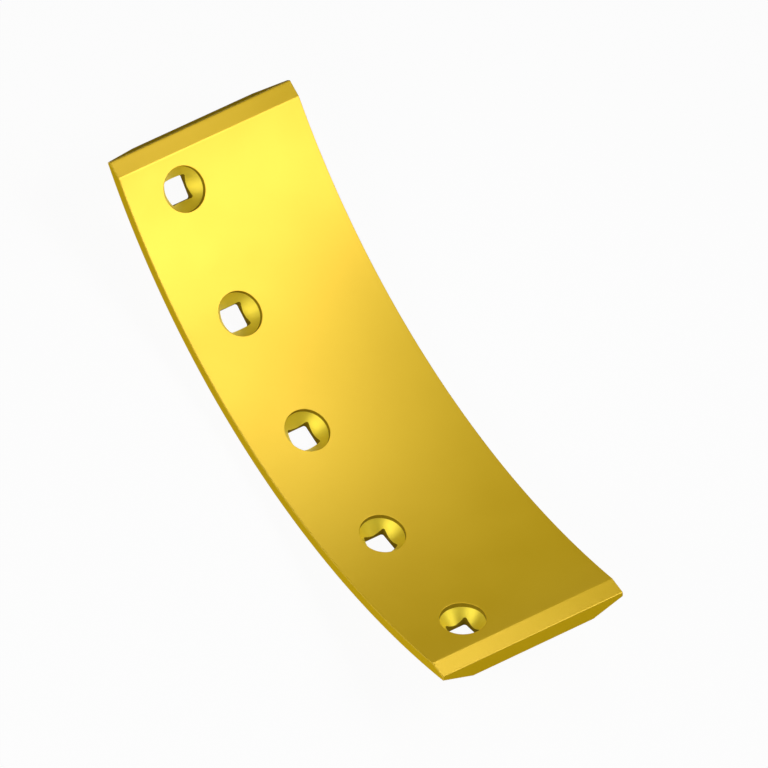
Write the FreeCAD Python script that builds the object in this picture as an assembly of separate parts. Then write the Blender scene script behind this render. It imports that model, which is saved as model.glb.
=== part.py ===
import FreeCAD, Part
import math
import os

# Curved blade end bit: one heat-treated steel plate, bent to an arc along its length.
# Sizes are in millimetres. X runs across the plate, Y along it and Z up. The plate lies
# on the lowest line of its convex back, with its concave front face up.

# Plate
plate_width = 152.4
plate_thickness = 15.875
blank_length = 457.2        # flat length, which the middle of the thickness keeps when bent
bend_radius = 431.8         # radius of the middle of the thickness

# Relief along both long edges of the back
side_relief_width = 25.4
side_land = 8.2             # edge thickness that is left beside the relief

# Sharpening bevel across the front face at each end
end_bevel_length = 11.9     # measured along the front face
end_bevel_depth = 4.76

# Row of countersunk bolt holes with a square passage, nearer one long edge
hole_count = 5
end_hole_inset = 38.1       # from either end, measured along the middle of the thickness
row_inset = 44.5            # from the long edge at -X
seat_diameter = 32.2
seat_recess_depth = 3.6
seat_cone_angle = 80.0      # full angle of the cone under the bolt head
square_size = 17.5          # across the flats of the bolt neck's passage
square_corner_radius = 1.8

# Broken edges
edge_radius = 0.6

# How far a cutting tool reaches past what it cuts
tool_overrun = 6.0

back_radius = bend_radius + plate_thickness / 2
front_radius = bend_radius - plate_thickness / 2
half_angle = math.degrees(blank_length / 2 / bend_radius)
bevel_angle = math.degrees(end_bevel_length / front_radius)
end_hole_angle = half_angle - math.degrees(end_hole_inset / bend_radius)
hole_pitch = (blank_length - 2 * end_hole_inset) / (hole_count - 1)
pitch_angle = math.degrees(hole_pitch / bend_radius)
row_x = row_inset - plate_width / 2
seat_radius = seat_diameter / 2

ORIGIN = FreeCAD.Vector(0, 0, 0)
X_AXIS = FreeCAD.Vector(1, 0, 0)
BEND_CENTRE = FreeCAD.Vector(0, 0, back_radius)


def on_arc(radius, angle, x=0.0):
    """Point at a radius from the bend axis. Positive angles lie towards +Y."""
    turn = math.radians(angle)
    return FreeCAD.Vector(x, radius * math.sin(turn), back_radius - radius * math.cos(turn))


def bent_plate():
    """Section with a full-width front and a back narrowed by the side reliefs, turned
    about the bend axis. Its two ends are square to the arc."""
    half_width = plate_width / 2
    half_back = half_width - side_relief_width
    land_foot = plate_thickness - side_land
    corners = [
        (-half_width, plate_thickness),
        (half_width, plate_thickness),
        (half_width, land_foot),
        (half_back, 0.0),
        (-half_back, 0.0),
        (-half_width, land_foot),
    ]
    points = [FreeCAD.Vector(x, 0, z) for x, z in corners]
    section = Part.Face(Part.makePolygon(points + points[:1]))
    section.rotate(BEND_CENTRE, X_AXIS, -half_angle)
    return section.revolve(BEND_CENTRE, X_AXIS, 2 * half_angle)


def end_bevel_tool(side):
    """Block whose lower face is the bevel at one end. side is 1 at +Y and -1 at -Y."""
    inner = on_arc(front_radius, side * (half_angle - bevel_angle))
    outer = on_arc(front_radius + end_bevel_depth, side * half_angle)
    along = (outer - inner).normalize()
    upward = X_AXIS.cross(along) * side
    half_span = plate_width / 2 + tool_overrun
    start = inner - X_AXIS * half_span
    finish = outer + along * tool_overrun - X_AXIS * half_span
    rise = upward * (end_bevel_depth + tool_overrun)
    outline = Part.makePolygon([start, finish, finish + rise, start + rise, start])
    return Part.Face(outline).extrude(X_AXIS * 2 * half_span)


def bolt_hole_tool():
    """Tool for one bolt hole, with its axis on Z and the plate's front face at z = 0:
    a round recess, a cone under it and a square passage for the bolt's neck."""
    neck_radius = square_size / 2
    cone_depth = (seat_radius - neck_radius) / math.tan(math.radians(seat_cone_angle / 2))
    recess_floor = FreeCAD.Vector(0, 0, -seat_recess_depth)
    recess = Part.makeCylinder(seat_radius, seat_recess_depth + tool_overrun, recess_floor)
    cone_foot = recess_floor - FreeCAD.Vector(0, 0, cone_depth)
    cone = Part.makeCone(neck_radius, seat_radius, cone_depth, cone_foot)
    passage_depth = plate_thickness + tool_overrun
    corner = FreeCAD.Vector(-neck_radius, -neck_radius, -passage_depth)
    passage = Part.makeBox(square_size, square_size, passage_depth, corner)
    uprights = [edge for edge in passage.Edges if abs(edge.tangentAt(edge.FirstParameter).z) > 0.5]
    passage = passage.makeFillet(square_corner_radius, uprights)
    return recess.fuse([cone, passage])


def hole_angle(index):
    """Angle of a hole of the row about the bend axis."""
    return end_hole_angle - index * pitch_angle


def bolt_hole(index):
    """The hole tool set square to the front face at its place in the row."""
    tool = bolt_hole_tool()
    tool.rotate(ORIGIN, X_AXIS, hole_angle(index))
    tool.translate(on_arc(front_radius, hole_angle(index), row_x))
    return tool


plate = bent_plate()
plate = plate.cut([end_bevel_tool(1), end_bevel_tool(-1)])
plate = plate.makeFillet(edge_radius, plate.Edges)
plate = plate.cut([bolt_hole(index) for index in range(hole_count)])

end_bit = plate.Solids[0]
os.makedirs("parts", exist_ok=True)
end_bit.exportStep("parts/end_bit.step")
print("valid", end_bit.isValid(), "solids", len(plate.Solids), "faces", len(end_bit.Faces))
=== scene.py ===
import bmesh
import bpy
import math
from mathutils import Matrix, Vector


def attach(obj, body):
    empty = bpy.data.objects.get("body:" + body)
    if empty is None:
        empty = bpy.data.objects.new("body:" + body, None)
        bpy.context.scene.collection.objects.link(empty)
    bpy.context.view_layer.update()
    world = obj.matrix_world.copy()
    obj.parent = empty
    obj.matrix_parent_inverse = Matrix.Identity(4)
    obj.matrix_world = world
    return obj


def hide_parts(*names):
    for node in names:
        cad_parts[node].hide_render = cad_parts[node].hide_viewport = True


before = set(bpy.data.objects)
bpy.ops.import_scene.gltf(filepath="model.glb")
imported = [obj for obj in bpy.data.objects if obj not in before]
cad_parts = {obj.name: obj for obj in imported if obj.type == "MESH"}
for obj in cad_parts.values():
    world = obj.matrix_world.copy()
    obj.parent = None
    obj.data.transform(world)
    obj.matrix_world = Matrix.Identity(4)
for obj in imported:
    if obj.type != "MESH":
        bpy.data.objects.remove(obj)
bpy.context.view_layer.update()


# End bit plate
# One piece of heat-treated wear steel, worked here as in the shop: cut and bevelled flat,
# the bolt holes sunk, and then bent lengthwise in a press to the curve of the blade.
MM = 0.001
plate_width = 152.4 * MM
plate_thickness = 15.875 * MM
blank_length = 457.2 * MM
bend_radius = 431.8 * MM
side_relief_width = 25.4 * MM
side_land = 8.2 * MM
end_bevel_length = 11.9 * MM
end_bevel_depth = 4.76 * MM
broken_edge = 0.6 * MM
edge_segments = 3
touch = 0.01 * MM           # points closer than this lie on the same surface

back_radius = bend_radius + plate_thickness / 2
front_radius = bend_radius - plate_thickness / 2


def bend(point):
    """Flat plate to bent plate: lengths on the middle of the thickness are kept."""
    turn = point.y / bend_radius
    radius = back_radius - point.z
    return Vector((point.x, radius * math.sin(turn), back_radius - radius * math.cos(turn)))


def unbend(point):
    """Bent plate back to flat plate."""
    rise = back_radius - point.z
    turn = math.atan2(point.y, rise)
    return Vector((point.x, turn * bend_radius, back_radius - math.hypot(point.y, rise)))


def flat_plate():
    """Bar with the side reliefs rolled into its back, both ends bevelled, edges broken."""
    half_width = plate_width / 2
    half_back = half_width - side_relief_width
    land_foot = plate_thickness - side_land
    plate = bmesh.new()
    corners = [
        (-half_width, plate_thickness),
        (half_width, plate_thickness),
        (half_width, land_foot),
        (half_back, 0),
        (-half_back, 0),
        (-half_width, land_foot),
    ]
    section = plate.faces.new([plate.verts.new((x, -blank_length / 2, z)) for x, z in corners])
    far_end = bmesh.ops.extrude_face_region(plate, geom=[section])["geom"]
    bmesh.ops.translate(
        plate,
        vec=(0, blank_length, 0),
        verts=[item for item in far_end if isinstance(item, bmesh.types.BMVert)],
    )
    bevel_run = end_bevel_length * bend_radius / front_radius
    for end in (1, -1):
        cut = bmesh.ops.bisect_plane(
            plate,
            geom=plate.verts[:] + plate.edges[:] + plate.faces[:],
            plane_co=(0, end * (blank_length / 2 - bevel_run), plate_thickness),
            plane_no=(0, end * end_bevel_depth, bevel_run),
            clear_outer=True,
        )
        rim = [item for item in cut["geom_cut"] if isinstance(item, bmesh.types.BMEdge)]
        bmesh.ops.contextual_create(plate, geom=rim)
    bmesh.ops.recalc_face_normals(plate, faces=plate.faces)
    bmesh.ops.bevel(
        plate,
        geom=plate.edges[:],
        affect="EDGES",
        offset=broken_edge,
        segments=edge_segments,
        profile=0.5,
        material=-1,
    )
    return plate


# Bolt holes
# Five seats for countersunk plow bolts, nearer one long edge: a round recess for the head,
# a cone under it, and a square passage that keeps the bolt from turning.
hole_count = 5
hole_pitch = 95.25 * MM
end_hole_inset = 38.1 * MM
row_inset = 44.5 * MM       # from the long edge at -X
seat_radius = 16.1 * MM
seat_recess_depth = 3.6 * MM
seat_cone_angle = math.radians(80)
seat_steps = 96
slope_margin = 0.15         # a face this close to the slope of the cone belongs to it
square_size = 17.5 * MM
square_corner_radius = 1.8 * MM
square_corner_segments = 8
rim_break = 0.35 * MM
rim_margin = 1 * MM         # a seat is widened by less than this when the plate is unbent
overrun = 4 * MM            # how far a tool reaches past what it cuts
weld = 0.0005 * MM

row_x = row_inset - plate_width / 2
first_place = blank_length / 2 - end_hole_inset
hole_places = [first_place - index * hole_pitch for index in range(hole_count)]


def seat_tool():
    """Recess and cone as one turned tool, with the plate's front face at z = 0."""
    tool = bmesh.new()
    tip_depth = seat_recess_depth + seat_radius / math.tan(seat_cone_angle / 2)
    outline = [
        (0, overrun),
        (seat_radius, overrun),
        (seat_radius, -seat_recess_depth),
        (0, -tip_depth),
    ]
    points = [tool.verts.new((x, 0, z)) for x, z in outline]
    edges = [tool.edges.new(pair) for pair in zip(points, points[1:])]
    bmesh.ops.spin(
        tool,
        geom=points + edges,
        cent=(0, 0, 0),
        axis=(0, 0, 1),
        angle=math.tau,
        steps=seat_steps,
        use_merge=True,
    )
    bmesh.ops.remove_doubles(tool, verts=tool.verts, dist=2 * weld)
    return tool


def passage_tool():
    """Square bar with rounded corners, long enough to pass through the plate."""
    tool = bmesh.new()
    bmesh.ops.create_cube(tool, size=1)
    length = plate_thickness + 2 * overrun
    bmesh.ops.scale(tool, vec=(square_size, square_size, length), verts=tool.verts)
    bmesh.ops.translate(tool, vec=(0, 0, -plate_thickness / 2 - overrun), verts=tool.verts)
    uprights = [edge for edge in tool.edges if abs(edge.verts[0].co.z - edge.verts[1].co.z) > touch]
    bmesh.ops.bevel(
        tool,
        geom=uprights,
        affect="EDGES",
        offset=square_corner_radius,
        segments=square_corner_segments,
        profile=0.5,
        material=-1,
    )
    return tool


def row_of(tool, name):
    """The tool set square to the bent face at each hole, taken back to the flat plate."""
    row = bmesh.new()
    for place in hole_places:
        turn = place / bend_radius
        one = tool.copy()
        foot = bend(Vector((row_x, place, plate_thickness)))
        bmesh.ops.transform(
            one,
            matrix=Matrix.Translation(foot) @ Matrix.Rotation(turn, 4, "X"),
            verts=one.verts,
        )
        for vert in one.verts:
            vert.co = unbend(vert.co)
        piece = bpy.data.meshes.new(name)
        one.to_mesh(piece)
        one.free()
        row.from_mesh(piece)
        bpy.data.meshes.remove(piece)
    bmesh.ops.recalc_face_normals(row, faces=row.faces)
    mesh = bpy.data.meshes.new(name)
    row.to_mesh(mesh)
    row.free()
    cutter = bpy.data.objects.new(name, mesh)
    bpy.context.scene.collection.objects.link(cutter)
    return cutter


def cut_holes(plate):
    """Sinks both rows of tools into the flat plate and gives the cut plate back."""
    mesh = bpy.data.meshes.new("flat_plate")
    plate.to_mesh(mesh)
    plate.free()
    blank = bpy.data.objects.new("flat_plate", mesh)
    bpy.context.scene.collection.objects.link(blank)
    cutters = [row_of(seat_tool(), "seat_row"), row_of(passage_tool(), "passage_row")]
    for cutter in cutters:
        sink = blank.modifiers.new(cutter.name, "BOOLEAN")
        sink.object = cutter
        sink.operation = "DIFFERENCE"
        sink.solver = "EXACT"
    bpy.context.view_layer.update()
    drilled = bmesh.new()
    drilled.from_object(blank, bpy.context.evaluated_depsgraph_get())
    for gone in cutters + [blank]:
        mesh = gone.data
        bpy.data.objects.remove(gone)
        bpy.data.meshes.remove(mesh)
    return drilled


def near_hole(point):
    """True within the width of a seat, at any depth."""
    gap = min(math.hypot(point.x - row_x, point.y - place) for place in hole_places)
    return gap < seat_radius + rim_margin


def at_rim(vert):
    """True on the line where a recess opens in the front face."""
    return abs(vert.co.z - plate_thickness) < touch and near_hole(vert.co)


plate = cut_holes(flat_plate())
bmesh.ops.remove_doubles(plate, verts=plate.verts, dist=weld)
rims = [
    edge
    for edge in plate.edges
    if at_rim(edge.verts[0]) and at_rim(edge.verts[1]) and edge.calc_face_angle(0) > 1
]
bmesh.ops.bevel(
    plate,
    geom=rims,
    affect="EDGES",
    offset=rim_break,
    segments=edge_segments,
    profile=0.5,
    material=-1,
)

full_coat, edge_coat, painted_shade_wall_coat, painted_highlight_cone_coat = range(4)


def coat_of(face):
    """Number of the coat of paint that a face of the flat plate gets."""
    middle = face.calc_center_median()
    if near_hole(middle) and touch < middle.z < plate_thickness - rim_break:
        on_cone = abs(face.normal.z - math.sin(seat_cone_angle / 2)) < slope_margin
        # The paler cone copy is painted highlight, and the dark wall copy is painted shade.
        return painted_highlight_cone_coat if on_cone else painted_shade_wall_coat
    on_cut_end = min(abs(vert.co.y) for vert in face.verts) > blank_length / 2 - touch
    on_long_edge = min(abs(vert.co.x) for vert in face.verts) > plate_width / 2 - touch
    return edge_coat if on_cut_end or on_long_edge else full_coat


bend_steps = 240
for step in range(1, bend_steps):
    bmesh.ops.bisect_plane(
        plate,
        geom=plate.verts[:] + plate.edges[:] + plate.faces[:],
        dist=weld,
        plane_co=(0, blank_length * (step / bend_steps - 0.5), 0),
        plane_no=(0, 1, 0),
    )
for face in plate.faces:
    face.material_index = coat_of(face)
for vert in plate.verts:
    vert.co = bend(vert.co)
bmesh.ops.recalc_face_normals(plate, faces=plate.faces)
for face in plate.faces:
    face.smooth = True

plate_mesh = bpy.data.meshes.new("curved_end_bit")
plate.to_mesh(plate_mesh)
plate.free()
sharpest_smooth_edge = math.radians(34)
plate_mesh.set_sharp_from_angle(angle=sharpest_smooth_edge)
end_bit = bpy.data.objects.new("curved_end_bit", plate_mesh)
bpy.context.scene.collection.objects.link(end_bit)
flat_shading = end_bit.modifiers.new("flat_shading", "WEIGHTED_NORMAL")
flat_shading.keep_sharp = True


# Paint
# Machinery yellow, sprayed on as one satin coat. Its tone drifts a little with its thickness.
# It dries matt on the cut edges. The machined cones of the bolt seats get a paler, brighter
# copy of the paint as painted highlight, and their steep walls a dark, dull copy as painted shade.
paint_light = (0.870, 0.574, 0.009, 1)
paint_deep = (0.850, 0.552, 0.007, 1)
# Dark copy of the paint for the steep seat walls: painted shade.
painted_shade_wall_pale = (0.35, 0.25, 0.01, 1)
painted_shade_wall_deep = (0.33, 0.23, 0.01, 1)
# Paler, brighter copy of the paint for the seat cones: painted highlight.
painted_highlight_cone_pale = (1, 0.82, 0.05, 1)
painted_highlight_cone_deep = (1, 0.80, 0.04, 1)

noise_low = 0.3             # nearly all of a noise lies between these two
noise_high = 0.7
drift_scale = 15
gloss_scale = 30
rolled_scale = 48
rolled_depth = 0.02 * MM
skin_scale = 950
skin_depth = 0.008 * MM


def map_range(tree, source, low, high):
    """Stretches the middle of a noise to the range from low to high."""
    spread = tree.nodes.new("ShaderNodeMapRange")
    spread.inputs["From Min"].default_value = noise_low
    spread.inputs["From Max"].default_value = noise_high
    spread.inputs["To Min"].default_value = low
    spread.inputs["To Max"].default_value = high
    tree.links.new(source, spread.inputs["Value"])
    return spread.outputs["Result"]


def noise(tree, place, scale, detail):
    """Noise with features of about one metre over scale."""
    cloud = tree.nodes.new("ShaderNodeTexNoise")
    cloud.inputs["Scale"].default_value = scale
    cloud.inputs["Detail"].default_value = detail
    tree.links.new(place, cloud.inputs["Vector"])
    return cloud.outputs["Fac"]


def raised(tree, height, depth, below=None):
    """Bump of that depth in metres, laid over the one below it."""
    bump = tree.nodes.new("ShaderNodeBump")
    bump.inputs["Strength"].default_value = 1
    bump.inputs["Distance"].default_value = depth
    tree.links.new(height, bump.inputs["Height"])
    if below:
        tree.links.new(below, bump.inputs["Normal"])
    return bump.outputs["Normal"]


def yellow_paint(name, deep, light, gloss, metallic, specular):
    """A coat of paint, between two tones. gloss is the range of its roughness."""
    paint = bpy.data.materials.new(name)
    paint.use_nodes = True
    tree = paint.node_tree
    shader = tree.nodes["Principled BSDF"]
    place = tree.nodes.new("ShaderNodeTexCoord").outputs["Object"]
    coat = tree.nodes.new("ShaderNodeMix")
    coat.data_type = "RGBA"
    coat.inputs["A"].default_value = deep
    coat.inputs["B"].default_value = light
    drift = map_range(tree, noise(tree, place, drift_scale, 3), 0, 1)
    tree.links.new(drift, coat.inputs["Factor"])
    tree.links.new(coat.outputs["Result"], shader.inputs["Base Color"])
    roughness = map_range(tree, noise(tree, place, gloss_scale, 2), *gloss)
    tree.links.new(roughness, shader.inputs["Roughness"])
    rolled = raised(tree, noise(tree, place, rolled_scale, 2), rolled_depth)
    skin = raised(tree, noise(tree, place, skin_scale, 2), skin_depth, rolled)
    tree.links.new(skin, shader.inputs["Normal"])
    shader.inputs["Metallic"].default_value = metallic
    shader.inputs["Specular IOR Level"].default_value = specular
    return paint


satin = (0.37, 0.40)        # ranges of roughness
soft_satin = (0.48, 0.52)
matt = (0.86, 0.92)
coats = [
    yellow_paint("yellow_paint", paint_deep, paint_light, satin, 0.37, 0.7),
    yellow_paint("yellow_paint_on_cut_edges", paint_deep, paint_light, matt, 0, 0.05),
    # Seat walls: dark copy of the paint, painted shade.
    yellow_paint("painted_shade_on_seat_walls", painted_shade_wall_deep, painted_shade_wall_pale, matt, 0, 0.05),
    # Seat cones: pale, bright copy of the paint, painted highlight.
    yellow_paint("painted_highlight_on_seat_cones", painted_highlight_cone_deep, painted_highlight_cone_pale, soft_satin, 0.6, 1),
]
for coat in coats:
    end_bit.data.materials.append(coat)
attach(end_bit, "root")
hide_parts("end_bit")


# Floor and backdrop
# A white sheet under the plate. It looks white to the eye and in reflections and keeps a
# soft shadow, but throws little light back up at the plate.
floor_half = 8.0
floor_seen = (0.8, 0.8, 0.8, 1)
floor_bounce = (0.3, 0.3, 0.3, 1)
floor_glow_share = 0.95

sheet = bmesh.new()
bmesh.ops.create_grid(sheet, x_segments=1, y_segments=1, size=floor_half)
floor_mesh = bpy.data.meshes.new("floor")
sheet.to_mesh(floor_mesh)
sheet.free()
floor = bpy.data.objects.new("floor", floor_mesh)
bpy.context.scene.collection.objects.link(floor)


def white_sheet():
    """White to the camera, in reflections and through gaps, grey to the light it bounces."""
    white = bpy.data.materials.new("white_sheet")
    white.use_nodes = True
    tree = white.node_tree
    paper = tree.nodes["Principled BSDF"]
    paper.inputs["Roughness"].default_value = 0.9
    path = tree.nodes.new("ShaderNodeLightPath").outputs
    seen = path["Is Camera Ray"]
    for ray in ("Is Glossy Ray", "Is Transmission Ray"):
        either = tree.nodes.new("ShaderNodeMath")
        either.operation = "MAXIMUM"
        tree.links.new(seen, either.inputs[0])
        tree.links.new(path[ray], either.inputs[1])
        seen = either.outputs[0]
    colour = tree.nodes.new("ShaderNodeMix")
    colour.data_type = "RGBA"
    colour.inputs["A"].default_value = floor_bounce
    colour.inputs["B"].default_value = floor_seen
    tree.links.new(seen, colour.inputs["Factor"])
    tree.links.new(colour.outputs["Result"], paper.inputs["Base Color"])
    share = tree.nodes.new("ShaderNodeMath")
    share.operation = "MULTIPLY"
    share.inputs[1].default_value = floor_glow_share
    tree.links.new(seen, share.inputs[0])
    glow = tree.nodes.new("ShaderNodeEmission")
    glow.inputs["Strength"].default_value = 1
    blend = tree.nodes.new("ShaderNodeMixShader")
    tree.links.new(share.outputs[0], blend.inputs["Fac"])
    tree.links.new(paper.outputs[0], blend.inputs[1])
    tree.links.new(glow.outputs[0], blend.inputs[2])
    tree.links.new(blend.outputs[0], tree.nodes["Material Output"].inputs["Surface"])
    return white


floor.data.materials.append(white_sheet())


# Light
# A broad soft lamp that puts the sheen on the raised end of the front face, a wide one low in
# front that reaches into the bolt seats, and two small ones close above. The room is dim.
lamp_target = Vector((0, 0, 0.03))
room_glow = 0.005


def lamp(name, azimuth, elevation, distance, width, height, watts):
    """Soft lamp aimed at the plate and not seen by the camera. Angles are in degrees."""
    light = bpy.data.lights.new(name, "AREA")
    light.shape = "ELLIPSE"
    light.size = width
    light.size_y = height
    light.energy = watts
    holder = bpy.data.objects.new(name, light)
    turn = math.radians(azimuth)
    rise = math.radians(elevation)
    aim = Vector((math.cos(rise) * math.cos(turn), math.cos(rise) * math.sin(turn), math.sin(rise)))
    holder.location = lamp_target + aim * distance
    holder.rotation_euler = aim.to_track_quat("Z", "Y").to_euler()
    holder.visible_camera = False
    bpy.context.scene.collection.objects.link(holder)


lamp("sheen_lamp", 319, 55, 1.2, 0.7, 0.7, 5.8)
lamp("front_lamp", 190, 30, 1.2, 1.8, 0.6, 8.5)
lamp("near_lamp", 50, 65, 0.45, 0.15, 0.15, 0.19)
lamp("right_lamp", 20, 70, 0.5, 0.15, 0.15, 0.32)

world = bpy.data.worlds.new("room")
bpy.context.scene.world = world
world.use_nodes = True
room = world.node_tree.nodes["Background"]
room.inputs["Color"].default_value = (1, 1, 1, 1)
room.inputs["Strength"].default_value = room_glow


# Camera
# A very long lens far off, so that the view is all but parallel, from above the front face
# and turned as in the photograph.
camera_distance = 20.44
picture_shift = (0.031035, 0.026834)    # to the right and up, in metres
right = Vector((0.80700, -0.52512, 0.27017)).normalized()
toward = Vector((-0.45595, -0.26329, 0.85017)).normalized()
up = toward.cross(right)
eye = right * picture_shift[0] + up * picture_shift[1] + toward * camera_distance
lens = bpy.data.cameras.new("camera")
lens.lens = 1400
lens.sensor_width = 36
lens.clip_end = 3 * camera_distance
camera = bpy.data.objects.new("camera", lens)
camera.matrix_world = Matrix.Translation(eye) @ Matrix((right, up, toward)).transposed().to_4x4()
bpy.context.scene.collection.objects.link(camera)
bpy.context.scene.camera = camera
bpy.context.scene.view_settings.view_transform = "Standard"
